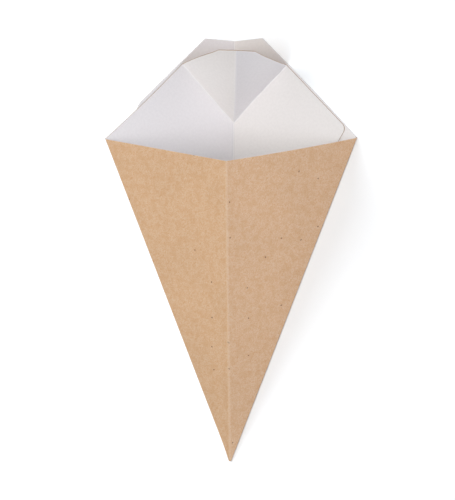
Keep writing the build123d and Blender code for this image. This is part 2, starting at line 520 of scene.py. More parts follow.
def add_wall(sheet, fold, side, edge, outline, slope, shift=0.0, end=None):
    """One wall: straight lines from the point, or from its free end's foot, to its edge points.

    The middle of the board is half its thickness out of the white face. The edge distance is from
    the wall's cut outline, and the sag falls off with the cube of the height below its slope."""
    f = sheet.form
    points, first, last = edge
    start = end.foot if end else f.start
    rows = rows_from(sheet.rows, end.row) if end else sheet.rows
    flat = fan(start, points, rows, first, None if end else last)
    a_wall = f.front_wall[side] if fold == FRONT else f.back_wall[side]
    pocket = np.abs(above_pocket_fold(f, flat)) if fold == INNER_BACK else FAR
    sag = SAGS[fold, side] * rows[:, None] ** 3 * slope_wave(points, *slope)
    return sheet.add(
        on_wall(a_wall, flat) + a_wall.kraft * f.board.thickness / 2 + shift, a_wall.kraft,
        blank_place(f, flat, fold, side), crease_distance(f, flat), pocket,
        distance_to(flat, outline), 0.0, sag,
    )


def join_bend(sheet, axis, ways, before, after, steps, swing, half_length):
    """A bend between two walls' edge columns: out from its axis by the bend's middle radius, with
    its blank places and fields led from one wall to the other. Its swing, 0 in its middle and 1 at
    its ends, times half its outer length is its distance from the crease."""
    fields = [between(a, b, steps) for a, b in zip(before[2], after[2])]
    fields[0] = np.minimum(fields[0], swing[None] * half_length)
    mid = axis + ways[None] * sheet.form.to_mid
    return sheet.add(mid, ways[None], between(before[1], after[1], steps), *fields)


def half_bend(sheet, patch, fold, side, core, top, shift=0.0, foot=0, steps=HALF_BEND):
    """Half of a back fold's bend, from the fold's middle to the wall beside it, and from a free
    end's foot up where the wall has one."""
    f = sheet.form
    axis = core + sheet.up * (top - f.start[1]) * f.back + shift
    place = blank_place(f, np.column_stack([0 * sheet.rows, sheet.rows * top]), fold, side)
    wall_column = column(patch, 0)
    middle_column = (None, place[foot:], wall_column[2])
    ways = turned(f.back_middle, f.back_wall[side].kraft, steps)
    return join_bend(
        sheet, axis[foot:, None], ways, middle_column, wall_column, steps, steps, f.fold_half
    )


def side_bend(sheet, core, side, first, last, shift=0.0):
    """A side fold's bend between two walls, each given as its directions, its patch and its side
    end. The two ends differ a little in length, so each column's length leads evenly from one to
    the other."""
    f = sheet.form
    lengths = [np.linalg.norm(end - f.start) for _, _, end in (first, last)]
    reach = lengths[0] + SIDE_BEND * (lengths[1] - lengths[0])
    axis = core + sheet.up[..., None] * reach[None, :, None] * f.side[side] + shift
    ways = turned(first[0].kraft, last[0].kraft, SIDE_BEND)
    return join_bend(
        sheet, axis, ways, column(first[1], -1), column(last[1], -1),
        SIDE_BEND, np.abs(2 * SIDE_BEND - 1), f.side_half,
    )


def pocket_crease(f):
    """Shares of the way up a pocket crease, close together near its root, and the flat points that
    the walls and the flap share there."""
    run = f.wall_end - f.wall_root
    near = NEAR / f.fold_way[0] / np.linalg.norm(run)
    even = np.arange(1, POCKET_STEPS + 1) / POCKET_STEPS
    share = np.concatenate([[0], near, even[even > near[-1] / HUG * NEAR_ROOM]])
    return share, f.wall_root + share[:, None] * run


def inner_edge(wall_fold, corners):
    """Edge points of an inner back wall, up the pocket crease and on along its slope, and which of
    them belong to its first and its last end."""
    slope, _, last = spaced(corners)
    past = len(NEAR) + 1
    ends = np.concatenate([wall_fold, slope[past:]])
    last = np.concatenate([np.zeros(len(wall_fold), bool), last[past:]])
    return ends, np.arange(len(ends)) < past, last


def fold_sheet(f):
    """The whole board: six walls, their folds, the closed point, and the pocket. Where two patches
    meet, the one added first gives the shared points their place on the blank."""
    sheet = Sheet(f)
    merging = sheet.merging
    share, wall_fold = pocket_crease(f)

    # Inner back walls: the left one whole, the right one from its foot and the pocket's root
    slope = [f.wall_end, f.inner_side]
    inner_left = add_wall(
        sheet, INNER_BACK, LEFT, inner_edge(wall_fold, slope), slope, slope,
        merging[..., None] * f.slide,
    )
    inner_fold = (f.core, f.wall_root[1], merging * f.slide)
    left_bend = half_bend(sheet, inner_left, INNER_BACK, LEFT, *inner_fold)
    inner_right = add_wall(
        sheet, INNER_BACK, RIGHT, inner_edge(wall_fold, [f.wall_end, *f.inner_end.arc]),
        [f.inner_end.foot, *f.inner_end.arc[::-1], f.wall_end], slope, end=f.inner_end,
    )
    right_bend = half_bend(
        sheet, inner_right, INNER_BACK, RIGHT, *inner_fold, foot=f.inner_end.row
    )

    # Front walls: the left one leads the inner wrap down to the outer one
    rim = [f.rim_middle[LEFT], f.rim_side[LEFT]]
    edge = spaced(rim)
    offset = edge[0] - f.start
    turn_part = np.arctan2(offset[:, 0], offset[:, 1]) / f.blank.panel_angle
    lead = (1 - turn_part) * (1 - sheet.up) + turn_part * merging
    front_left = add_wall(sheet, FRONT, LEFT, edge, rim, rim, lead[..., None] * f.slide)
    left_side = side_bend(
        sheet, f.core, LEFT, (f.back_wall[LEFT], inner_left, f.inner_side),
        (f.front_wall[LEFT], front_left, f.rim_side[LEFT]), merging[..., None] * f.slide,
    )
    rim = [f.rim_middle[RIGHT], f.rim_side[RIGHT]]
    front_right = add_wall(sheet, FRONT, RIGHT, spaced(rim), rim, rim, f.slide)
    axis = f.outer_core + sheet.up * (f.rim_middle[RIGHT][1] - f.start[1]) * f.front
    ways = turned(f.front_wall[LEFT].kraft, f.front_wall[RIGHT].kraft, BEND)
    front_bend = join_bend(
        sheet, axis[:, None], ways, column(front_left, 0), column(front_right, 0),
        BEND, np.abs(2 * BEND - 1), f.fold_half,
    )

    # Outer back walls: the right one whole, the left one from its foot to its free end
    top = [f.top_middle, f.top_end, f.outer_side]
    outer_right = add_wall(sheet, OUTER_BACK, RIGHT, spaced(top), top, top[1:], f.slide)
    right_side = side_bend(
        sheet, f.outer_core, RIGHT, (f.front_wall[RIGHT], front_right, f.rim_side[RIGHT]),
        (f.back_wall[RIGHT], outer_right, f.outer_side),
    )
    outer_fold = (f.outer_core, f.top_middle[1])
    back_bend = half_bend(
        sheet, outer_right, OUTER_BACK, RIGHT, *outer_fold, steps=HALF_BEND[::-1]
    )
    outer_left = add_wall(
        sheet, OUTER_BACK, LEFT, spaced([f.top_middle, f.top_end, *f.outer_end.arc]),
        [f.outer_end.foot, *f.outer_end.arc[::-1], f.top_end, f.top_middle], top[1:], f.slide,
        end=f.outer_end,
    )
    half_bend(sheet, outer_left, OUTER_BACK, LEFT, *outer_fold, foot=f.outer_end.row)

    close_point(sheet, [left_bend, inner_left, left_side, front_left, front_bend, front_right,
                        right_side, outer_right, back_bend])
    fold_pocket(sheet, wall_fold, share, left_bend, right_bend)
    return sheet


def close_point(sheet, ring):
    """The closed point: each line round the ring turns on down to the tip, on a ball about the
    outer wrap's core."""
    f = sheet.form
    down = np.array([0, 0, -1.0])
    part = POINT_STEPS[:, None]
    for mid, blank, _ in ring:
        ways = unit(mid[0] - f.outer_core)
        angle = np.arccos(np.clip(ways @ down, -1, 1))
        ball = np.sin(part * angle)[..., None] * ways + np.sin((1 - part) * angle)[..., None] * down
        ball = ball / np.sin(angle)[None, :, None]
        place = np.broadcast_to(blank[0], ball.shape[:2] + (2,)) * part[..., None]
        sheet.add(f.outer_core + ball * f.to_mid, ball, place, 0.0, FAR, FAR)


def flap_outline(f, share):
    """Flat points of half the flap's edge, one for each point of its crease: from the lip's middle
    along the lip, then down the slope. Also how far each is down the slope."""
    lip = f.lip_end - f.lip_middle
    lip_share = LIP_STEPS / POCKET_STEPS
    near_count = len(NEAR) + 1
    even = share[near_count:]
    down = (even - lip_share) / (1 - lip_share)
    on_lip = f.lip_middle + (even / lip_share)[:, None] * lip
    on_slope = f.lip_end + down[:, None] * (f.flap_end - f.lip_end)
    outline = np.where((even <= lip_share)[:, None], on_lip, on_slope)
    near_lip = f.lip_middle + (NEAR / lip[0])[:, None] * lip
    edge = np.concatenate([f.lip_middle[None], near_lip, outline])
    return edge, np.concatenate([np.zeros(near_count), np.clip(down, 0, 1)])


def fold_pocket(sheet, wall_fold, share, left_bend, right_bend):
    """The pocket: two bends from the back walls, two halves of the flap, the flap's ridge, and the
    small patch where all of them meet."""
    f = sheet.form
    flap_fold = f.flap_root + share[:, None] * (f.flap_end - f.flap_root)
    top, fall_share = flap_outline(f, share)
    up = FLAP_ROWS[:, None]
    flat = flap_fold + up[..., None] * (top - flap_fold)
    edge = distance_to(flat, [f.lip_middle, f.lip_end, f.flap_end])
    crease = np.minimum(flat[..., 0], np.abs(above_pocket_fold(f, flat)))
    lean = up ** LEAN_UP * np.cos(fall_share * math.pi / 2)[None, :] ** LEAN_ACROSS
    sag = up ** 2 * np.sin(math.pi * fall_share)[None, :]
    wall_edge = distance_to(wall_fold, [f.wall_end, f.inner_side])
    bend_edge = between(wall_edge, edge[0], BEND).T
    swing = np.abs(2 * BEND - 1)
    flaps, bends, bend_ways = {}, {}, {}
    for side in SIDES:
        kraft = f.flap_kraft[side]
        white = f.root + mirrored(f, on_wall(f.back_wall[side], flat) - f.root)
        flaps[side] = sheet.add(
            white + kraft * f.board.thickness / 2, kraft, blank_place(f, flat, INNER_BACK, side),
            FAR, crease, edge, lean, FLAP_SAG[side] * sag,
        )
        fold = f.pocket_fold[side]
        away = unit(np.cross(fold, f.back_wall[side].kraft))
        away = away * np.sign(-(away @ f.back))
        forward = unit(white[-1, 0] - f.root)
        forward = unit(forward - fold * (forward @ fold))
        lift = f.board.bend_radius / np.linalg.norm(np.cross(away, forward))
        runs = [(line - [0, f.pocket.root]) @ f.fold_way for line in (wall_fold, flap_fold)]
        axis = f.root + (away + forward) * lift + between(*runs, BEND).T[..., None] * fold
        ways = turned(f.back_wall[side].kraft, kraft, BEND)
        places = [blank_place(f, line, INNER_BACK, side) for line in (wall_fold, flap_fold)]
        bends[side] = sheet.add(
            axis + ways[:, None] * f.to_mid, ways[:, None], between(*places, BEND).swapaxes(0, 1),
            FAR, swing[:, None] * f.outer_radius * f.pocket_half_turn, bend_edge,
        )
        bend_ways[side] = ways

    # Ridge of the flap, where the bend's axis is behind its brown face
    ways = turned(f.flap_kraft[RIGHT], f.flap_kraft[LEFT], BEND)
    first, last = column(flaps[RIGHT], 0), column(flaps[LEFT], 0)
    axis = first[0] + f.flap_kraft[RIGHT] * f.to_mid
    fields = [between(a, b, BEND) for a, b in zip(first[2], last[2])]
    fields[1] = np.minimum(fields[1], swing[None] * f.fold_half)
    mid = axis[:, None] - ways[None] * f.to_mid
    ridge = sheet.add(mid, ways[None], between(first[1], last[1], BEND), *fields)

    # Where the back fold, the pocket folds and the ridge meet
    low_mid = np.concatenate([right_bend[0][-1, ::-1], left_bend[0][-1, 1:]])
    low_way = turned(f.back_wall[RIGHT].kraft, f.back_wall[LEFT].kraft, BEND)
    mid = blend_patch(low_mid, ridge[0][0], bends[RIGHT][0][:, 0], bends[LEFT][0][:, 0])
    way = unit(blend_patch(low_way, ways, bend_ways[RIGHT], bend_ways[LEFT]))
    place = blank_place(f, np.array([0.0, f.pocket.root]), INNER_BACK, LEFT)
    sheet.add(mid, way, np.broadcast_to(place, mid.shape[:2] + (2,)), 0.0, 0.0, FAR)


def blend_patch(low, high, first, last):
    """A patch between four edges: evenly from low to high, plus evenly from first to last, less what
    its four corners alone would give."""
    u = np.linspace(0, 1, len(low))[None, :, None]
    v = np.linspace(0, 1, len(first))[:, None, None]
    along = low[None] * (1 - v) + high[None] * v
    over = first[:, None] * (1 - u) + last[:, None] * u
    corners = (low[0] * (1 - u) + low[-1] * u) * (1 - v) + (high[0] * (1 - u) + high[-1] * u) * v
    return along + over - corners


# From patches to one closed mesh

# Cells for welding: their size in place and in way, and a shift off the round numbers
WELD_SIZE = 2e-7
WELD_WAY = 1 / 50
WELD_OFFSET = 0.3713
SHARP_ANGLE = math.radians(50)


def weld(sheet):
    """All patches as one surface: points that agree in place and way are one point.

    Returns the points' fields and the faces, each turned so that its brown side is out."""
    parts = {"mid": [], "kraft": [], "blank": [], "fields": []}
    quads = []
    count = 0
    for mid, kraft, blank, fields in sheet.patches:
        rows, columns = mid.shape[:2]
        number = count + np.arange(rows * columns).reshape(rows, columns)
        corners = [number[:-1, :-1], number[:-1, 1:], number[1:, 1:], number[1:, :-1]]
        quads.append(np.stack(corners, axis=-1).reshape(-1, 4))
        count += rows * columns
        parts["mid"].append(mid.reshape(-1, 3))
        parts["kraft"].append(kraft.reshape(-1, 3))
        parts["blank"].append(blank.reshape(-1, 2))
        parts["fields"].append(np.stack([a.reshape(-1) for a in fields], axis=-1))
    joined = {name: np.concatenate(arrays) for name, arrays in parts.items()}
    key = np.concatenate([joined["mid"] / WELD_SIZE, joined["kraft"] / WELD_WAY], axis=1)
    key = np.floor(key + WELD_OFFSET).astype(np.int64)
    _, kept, number = np.unique(key, axis=0, return_index=True, return_inverse=True)
    quads = number.reshape(-1)[np.concatenate(quads)]
    surface = {name: array[kept] for name, array in joined.items()}
    return surface, face_out(surface, quads)


def face_out(surface, quads):
    """Faces with repeated points made triangles or dropped, and all turned brown side out."""
    same = quads == np.roll(quads, -1, axis=1)
    repeats = same.sum(axis=1)
    triangles = quads[repeats == 1][~same[repeats == 1]].reshape(-1, 3)
    out = []
    for faces in (quads[repeats == 0], triangles):
        points = surface["mid"][faces]
        if faces.shape[1] == 3:
            normal = np.cross(points[:, 1] - points[:, 0], points[:, 2] - points[:, 0])
        else:
            normal = np.cross(points[:, 2] - points[:, 0], points[:, 3] - points[:, 1])
        way = surface["kraft"][faces].sum(axis=1)
        back = (normal * way).sum(axis=1) < 0
        faces[back] = faces[back][:, ::-1]
        out.append(faces)
    return out


def open_edges(faces):
    """Edges that only one face uses, in the direction in which it uses them."""
    runs = np.concatenate([
        np.stack([group, np.roll(group, -1, axis=1)], axis=-1).reshape(-1, 2) for group in faces
    ])
    ordered = np.sort(runs, axis=1)
    _, number, uses = np.unique(ordered, axis=0, return_inverse=True, return_counts=True)
    return runs[uses[number.reshape(-1)] == 1]


def rest_place(f, surface):
    """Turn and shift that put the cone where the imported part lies: on its back wall, the middle of
    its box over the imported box's middle, and its lowest face on the floor."""
    up = -f.back_wall[RIGHT].kraft
    axis = np.array([0, 0, 1.0])
    forward = unit(axis - up * (axis @ up))
    turn = np.array([np.cross(forward, up), forward, up])
    faces = [surface["mid"] + surface["kraft"] * f.board.thickness * s for s in (0.5, -0.5)]
    points = np.concatenate(faces) @ turn.T
    low, high = points.min(axis=0), points.max(axis=0)
    shift = (np.array(cad_low) + np.array(cad_high) - low - high) / 2
    shift[2] = cad_low[2] - low[2]
    return turn, shift


# Unevenness of a hand-folded sheet, in the standing cone

RIM_SHIFTS = {
    "front": np.array([-0.5, 0.0, -0.45]) * MM,
    "back": np.array([-0.15, 0.0, -0.25]) * MM,
    "right": np.array([-0.35, 0.28, 0.5]) * MM,
    "left": np.array([0.0, 0.0, -0.95]) * MM,
}
RIM_HEIGHT = 195 * MM

# The lip: rise of its middle, tilt down to the right, and drop of its ends for their distance out
LIP_RISE = 1.2 * MM
LIP_TILT = 0.038
LIP_END_DROP = 0.1
LIP_END_POWER = 8

# The inner sheet at the pocket crease's right end: how far right and low, and how far round
CREASE_END_RIGHT = 1.6 * MM
CREASE_END_LOW = 0.9 * MM
CREASE_END_REACH = 22 * MM

# Slow waves over a panel: their lengths along and across in millimetres, their start and height
BOW_WAVES = ((97, 151, 0.6, 1.0), (61, -83, 2.1, 0.6))
BOW_MEAN = 0.5
BOW_SWING = 3.2


def hand_fold(f, surface):
    """The sheet as a hand folds it: rim corners, lip, slopes and one crease end a little off, and
    panels that bow by slow waves that are nothing at the folds.

    Each rim corner's shift grows in proportion to its height, and leads evenly from one fold to the
    next. Slopes sag along the back fold's direction."""
    mid = surface["mid"]
    lean = surface["fields"][:, 3]
    sag = surface["fields"][:, 4]
    height = mid[:, 2] / RIM_HEIGHT
    half_width = abs(f.side[RIGHT][0] / f.side[RIGHT][2])
    reach = np.abs(mid[:, 0]) / np.maximum(mid[:, 2] * half_width, 1e-6)
    reach = np.clip(reach, 0, 1)[:, None]
    at_middle = np.where(surface["kraft"][:, 1:2] < 0, RIM_SHIFTS["front"], RIM_SHIFTS["back"])
    at_side = np.where(mid[:, :1] > 0, RIM_SHIFTS["right"], RIM_SHIFTS["left"])
    moved = mid + height[:, None] * (at_middle * (1 - reach) + at_side * reach)
    moved[:, 0] += f.pocket.lip_lean * lean
    moved[:, 2] += (LIP_RISE * lean - LIP_TILT * mid[:, 0]) * lean
    moved -= (LIP_END_DROP * np.abs(mid[:, 0]) * lean ** LIP_END_POWER)[:, None] * mirrored(f, f.back)
    moved -= MM * sag[:, None] * f.back
    crease_end = on_wall(f.back_wall[RIGHT], f.wall_end)
    near = np.exp(-(np.linalg.norm(mid - crease_end, axis=1) / CREASE_END_REACH) ** 2)
    near = (near * (surface["blank"][:, 0] < 0))[:, None]
    moved += near * (CREASE_END_RIGHT * f.back_wall[RIGHT].across - CREASE_END_LOW * f.back)
    fade = np.sin(math.pi * reach[:, 0]) * np.clip(height, 0, 1) * (lean == 0)
    wave = sum(
        tall * np.sin(2 * math.pi * (mid[:, 2] / along + mid[:, 0] / across) / MM + start)
        for along, across, start, tall in BOW_WAVES
    )
    bow = f.board.bow * (BOW_MEAN + wave / BOW_SWING) * fade
    return moved - surface["kraft"] * bow[:, None]


# A crease's bead and the groove at each side of it, in millimetres
BEAD_WIDTH = 0.45
GROOVE_DEPTH = 0.35
GROOVE_PLACE = 0.95
GROOVE_WIDTH = 0.25

# Share of the cut that shows brown on the outer back walls, which start just past their fold
OUTER_BROWN = 0.22
PAST_FOLD = 1.01

# Numbers of the materials
BROWN, WHITE, CUT = 0, 1, 2


def bead_profile(distance):
    """Height of a crease's bead across it: a round ridge, less a shallow groove at each side."""
    x = distance / MM
    ridge = np.exp(-(x / BEAD_WIDTH) ** 2)
    return ridge - GROOVE_DEPTH * np.exp(-((x - GROOVE_PLACE) / GROOVE_WIDTH) ** 2)


def edge_way(mid, kraft, strips):
    """For each point of the cut outline, the way out of the sheet: the sum over its two edges of the
    edge crossed with the brown face's way, made one long. Nothing for the other points."""
    run = mid[strips[:, 1]] - mid[strips[:, 0]]
    out = np.zeros_like(mid)
    for end in (0, 1):
        np.add.at(out, strips[:, end], np.cross(run, kraft[strips[:, end]]))
    return out / np.maximum(np.linalg.norm(out, axis=1, keepdims=True), 1e-12)


def brown_share(f, blank):
    """How far through the board its cut shows brown: all of it for the inner walls, where the brown line
    also stands for painted shade in the gap between the layers, and less for the outer back walls,
    where the white face is drawn over the cut."""
    angle = np.arctan2(blank[:, 0], blank[:, 1])
    # Painted shade in part: the inner walls' cut is brown through, as a dark line in the gap behind
    # their edges
    return np.where(angle > PAST_FOLD * f.blank.panel_angle, OUTER_BROWN, 1.0)


def build_mesh(f):
    """The closed mesh: the middle surface moved half the board's thickness each way, and a strip of
    cut edge between the two along every open edge."""
    surface, faces = weld(fold_sheet(f))
    turn, shift = rest_place(f, surface)
    mid = hand_fold(f, surface)
    half = surface["kraft"] * f.board.thickness / 2
    strips = open_edges(faces)
    crushed = edge_way(mid, surface["kraft"], strips) * f.board.crush
    bead = surface["kraft"] * (f.board.bead * bead_profile(surface["fields"][:, 0]))[:, None]
    white = (mid - half - bead - crushed) @ turn.T + shift
    kraft = (mid + half) @ turn.T + shift
    count = len(mid)
    first, last = strips[:, 0], strips[:, 1]
    brown_out = [group + count for group in faces]
    white_in = [group[:, ::-1] for group in faces]
    cut = np.stack([last + count, first + count, first, last], axis=-1)
    groups = [*brown_out, *white_in, cut]
    faces = [face for group in groups for face in group.tolist()]
    mesh = bpy.data.meshes.new(NODE + "_paper")
    mesh.from_pydata(np.concatenate([white, kraft]).tolist(), [], faces)
    kind = np.repeat([BROWN, BROWN, WHITE, WHITE, CUT], [len(group) for group in groups])
    mesh.polygons.foreach_set("material_index", kind.astype(np.int32))
    mesh.polygons.foreach_set("use_smooth", np.ones(len(kind), bool))
    for i, name in enumerate(("crease_distance", "pocket_distance", "edge_distance")):
        add_field(mesh, name, np.tile(surface["fields"][:, i] / MM, 2))
    add_field(mesh, "through", np.concatenate([np.zeros(count), brown_share(f, surface["blank"])]))
    place = mesh.uv_layers.new(name="blank")
    corner = np.empty(len(mesh.loops), np.int32)
    mesh.loops.foreach_get("vertex_index", corner)
    place.data.foreach_set("uv", np.tile(surface["blank"], (2, 1))[corner].astype(np.float32).ravel())
    mesh.update()
    mesh.validate()
    mesh.set_sharp_from_angle(angle=SHARP_ANGLE)
    return mesh


def add_field(mesh, name, values):
    """A number at each of the mesh's points, for the materials to read. Distances are in
    millimetres."""
    attribute = mesh.attributes.new(name, "FLOAT", "POINT")
    attribute.data.foreach_set("value", values.astype(np.float32))


# Shader groups

# Fibres and flecks: angle and shift of each layer, size in millimetres, and the noise that shows
FIBRE_LAYERS = ((0.5, 3.0), (-0.75, 41.0), (1.6, 77.0))
FIBRE_SIZE = (1.2, 0.48, 1)
FIBRE_NOISE = (0.5, 0.7)
FLECK_ANGLE = 0.9
FLECK_SHIFT = (13, 57)
FLECK_SIZE = (1.7, 1.0, 1)
FLECK_NOISE = (0.53, 0.72)

# Grain and specks: noise and cells for each millimetre, and how far a speck fills its cell
GRAIN_SCALE = 1.5
RAGGED_SCALE = 1.4
SPECK_CELLS = 0.085
SPECK_REACH = 0.075

# Fading of the lines beside a crease and of a pocket crease's band, in millimetres
LINE_FADE = (0.32, 0.05)
POCKET_BAND = (1.1, 0.3)


def new_tree(name, inputs, outputs):
    """An empty shader group with number inputs by name, a Place vector, and number outputs."""
    tree = bpy.data.node_groups.new(name, "ShaderNodeTree")
    for label, default in inputs.items():
        kind = "NodeSocketVector" if default is None else "NodeSocketFloat"
        socket = tree.interface.new_socket(label, in_out="INPUT", socket_type=kind)
        if default is not None:
            socket.default_value = default
    for label in outputs:
        tree.interface.new_socket(label, in_out="OUTPUT", socket_type="NodeSocketFloat")
    own = tree.nodes.new("NodeGroupInput").outputs
    out = tree.nodes.new("NodeGroupOutput").inputs
    return tree, own, out


def put(tree, socket, value):
    """Set a socket to a value, or link it to another node's output."""
    if isinstance(value, bpy.types.NodeSocket):
        tree.links.new(value, socket)
    elif socket.type == "RGBA" and len(value) == 3:
        socket.default_value = (*value, 1)
    else:
        socket.default_value = value


def node(tree, kind, settings=None, **inputs):
    """A node with its settings, and its inputs by name, or by number as i0, i1 and so on."""
    made = tree.nodes.new("ShaderNode" + kind)
    for name, value in (settings or {}).items():
        setattr(made, name, value)
    for name, value in inputs.items():
        key = int(name[1:]) if name[0] == "i" and name[1:].isdigit() else name.replace("_", " ")
        put(tree, made.inputs[key], value)
    return made


def math_node(tree, operation, first, second=0.0):
    """A Math node's output."""
    return node(tree, "Math", {"operation": operation}, i0=first, i1=second).outputs[0]


def times(tree, first, second):
    """The product of two values."""
    return math_node(tree, "MULTIPLY", first, second)


def ramp(tree, value, low, high, to_low=0.0, to_high=1.0):
    """A value led smoothly from one range to another, and held at its ends."""
    settings = {"interpolation_type": "SMOOTHSTEP"}
    made = node(tree, "MapRange", settings, i0=value, i1=low, i2=high, i3=to_low, i4=to_high)
    return made.outputs[0]


def mix(tree, factor, first, last):
    """Two colours mixed by a factor."""
    return node(tree, "Mix", {"data_type": "RGBA"}, i0=factor, i6=first, i7=last).outputs[2]


def noise(tree, place, scale, **inputs):
    """Flat noise on the blank, with its scale for each millimetre."""
    settings = {"noise_dimensions": "2D"}
    return node(tree, "TexNoise", settings, Vector=place, Scale=scale, **inputs).outputs[0]


def laid(tree, place, shift, angle, size):
    """The blank's place, shifted, turned and stretched for one layer of a pattern."""
    settings = {"vector_type": "TEXTURE"}
    return node(
        tree, "Mapping", settings, Vector=place, Location=(*shift, 0), Rotation=(0, 0, angle), Scale=size
    ).outputs[0]


def fibre_group():
    """Paper fibres on the flat blank: soft blotches, fine grain, fibres laid three ways and bent, larger
    flecks, and rare specks. The vector is the place on the blank in millimetres."""
    tree, own, out = new_tree(
        "paper_fibres", {"Place": None, "Blotch size": 2.0, "Speck amount": 0.5},
        ("Blotch", "Grain", "Fibre", "Fleck", "Speck"),
    )
    place = own["Place"]
    blotch_scale = math_node(tree, "DIVIDE", 1.0, own["Blotch size"])
    put(tree, out["Blotch"], noise(tree, place, blotch_scale, Detail=3.0, Roughness=0.62))
    put(tree, out["Grain"], noise(tree, place, GRAIN_SCALE, Detail=2.0, Roughness=0.6))
    fibres = []
    for angle, shift in FIBRE_LAYERS:
        layer = laid(tree, place, (shift, -shift), angle, FIBRE_SIZE)
        fibre = noise(tree, layer, 1.0, Detail=1.0, Distortion=0.5)
        fibres.append(ramp(tree, fibre, *FIBRE_NOISE))
    strongest = math_node(tree, "MAXIMUM", fibres[0], fibres[1])
    put(tree, out["Fibre"], math_node(tree, "MAXIMUM", strongest, fibres[2]))
    layer = laid(tree, place, FLECK_SHIFT, FLECK_ANGLE, FLECK_SIZE)
    fleck = noise(tree, layer, 1.0, Detail=2.0, Distortion=0.8)
    put(tree, out["Fleck"], ramp(tree, fleck, *FLECK_NOISE))
    cells = node(tree, "TexVoronoi", {"voronoi_dimensions": "2D"}, Vector=place, Scale=SPECK_CELLS)
    reach = times(tree, noise(tree, place, RAGGED_SCALE, Detail=2.0), SPECK_REACH)
    near = math_node(tree, "LESS_THAN", cells.outputs["Distance"], reach)
    chance = node(tree, "SeparateColor", None, Color=cells.outputs["Color"]).outputs[0]
    wanted = math_node(tree, "LESS_THAN", chance, own["Speck amount"])
    put(tree, out["Speck"], times(tree, near, wanted))
    return tree


def crease_group():
    """Where board is creased or cut: a band over the crease, the two thin lines beside it, and a band
    along the cut edge. Distances are in millimetres."""
    tree, own, out = new_tree(
        "crease_and_edge", {"Band width": 0.9, "Line distance": 0.75, "Edge width": 0.4},
        ("Band", "Lines", "Pocket band", "Edge"),
    )
    crease, pocket, edge = (
        attribute(tree, name) for name in ("crease_distance", "pocket_distance", "edge_distance")
    )
    put(tree, out["Band"], ramp(tree, crease, own["Band width"], times(tree, own["Band width"], 0.5)))
    beside = math_node(tree, "SUBTRACT", crease, own["Line distance"])
    put(tree, out["Lines"], ramp(tree, math_node(tree, "ABSOLUTE", beside), *LINE_FADE))
    put(tree, out["Pocket band"], ramp(tree, pocket, *POCKET_BAND))
    put(tree, out["Edge"], ramp(tree, edge, own["Edge width"], times(tree, own["Edge width"], 0.3)))
    return tree


def attribute(tree, name):
    """A number that the mesh keeps at its points."""
    return node(tree, "Attribute", {"attribute_name": name}).outputs["Fac"]


def use_group(tree, group, **inputs):
    """A group placed in a material with its own values."""
    return node(tree, "Group", {"node_tree": group}, **inputs).outputs


# Materials

# Tones over the flat blank: two distances in millimetres, and the tone at each
# Painted shade: the brown side darker toward the right front wall and beyond it
RIGHT_SHADE_TONE = (12.0, 75.0, 1.0, 0.94)
POINT_TONE = (30.0, 110.0, 0.96, 1.0)
# Painted light and shade: the white side lighter deep toward the point and darker toward the top
DEPTH_LIGHT_TONE = (175.0, 260.0, 1.06, 0.94)

# Slow change of tone: the noise's scale, two of its values, and the tone at each
BROAD_SCALE = 0.035
BROAD_TONE = (0.3, 0.7, 0.985, 1.015)

# Roughness at two values of the paper's grain
KRAFT_ROUGHNESS = (0.2, 0.8, 0.8, 0.92)
WHITE_ROUGHNESS = (0.2, 0.8, 0.52, 0.62)

# Colours of specks, wear and cut board, and of painted shade and painted highlights on the white side
SPECK_BROWN = (0.16, 0.065, 0.03)
WORN_KRAFT = (0.74, 0.56, 0.4)
SCUFFED_KRAFT = (0.8, 0.74, 0.7)
# Painted shade in the grooves beside a crease, and painted highlights on a crease and a pocket crease
GROOVE_SHADE_GREY = (0.6, 0.585, 0.57)
CREASE_HIGHLIGHT_WHITE = (0.88, 0.87, 0.865)
POCKET_HIGHLIGHT_WHITE = (0.88, 0.87, 0.87)
# The white liner at a cut, and the painted highlight along a cut edge on the white face
LINER_AND_EDGE_HIGHLIGHT_WHITE = (0.9, 0.9, 0.92)
SHADE_SHARE = 0.965


def place_on_blank(tree):
    """The place on the flat blank, in millimetres."""
    place = node(tree, "UVMap", {"uv_map": "blank"}).outputs[0]
    return node(tree, "VectorMath", {"operation": "SCALE"}, i0=place, Scale=1 / MM).outputs[0]


def from_point(tree, place):
    """Distance from the cone's point on the flat blank."""
    return node(tree, "VectorMath", {"operation": "LENGTH"}, i0=place).outputs["Value"]


def toned(tree, colour, tone):
    """A colour made lighter or darker by a tone."""
    return node(tree, "HueSaturation", None, Color=colour, Value=tone).outputs[0]


def layered(tree, colour, *layers):
    """A colour with others laid over it in turn, each by a mask times its share."""
    for mask, share, other in layers:
        colour = mix(tree, times(tree, mask, share), colour, other)
    return colour


def new_material(name):
    """An empty material with its shader."""
    material = bpy.data.materials.new(name)
    material.use_nodes = True
    tree = material.node_tree
    tree.nodes.clear()
    shader = node(tree, "BsdfPrincipled")
    node(tree, "OutputMaterial", None, i0=shader.outputs[0])
    return material, tree, shader


def finish_board(tree, shader, colour, roughness, height, specular, strength, depth):
    """The shader's colour, roughness and specular level, and a bump whose depth is in millimetres."""
    put(tree, shader.inputs["Base Color"], colour)
    put(tree, shader.inputs["Roughness"], roughness)
    put(tree, shader.inputs["Specular IOR Level"], specular)
    bump = node(tree, "Bump", None, Strength=strength, Distance=depth * MM, Height=height)
    put(tree, shader.inputs["Normal"], bump.outputs[0])


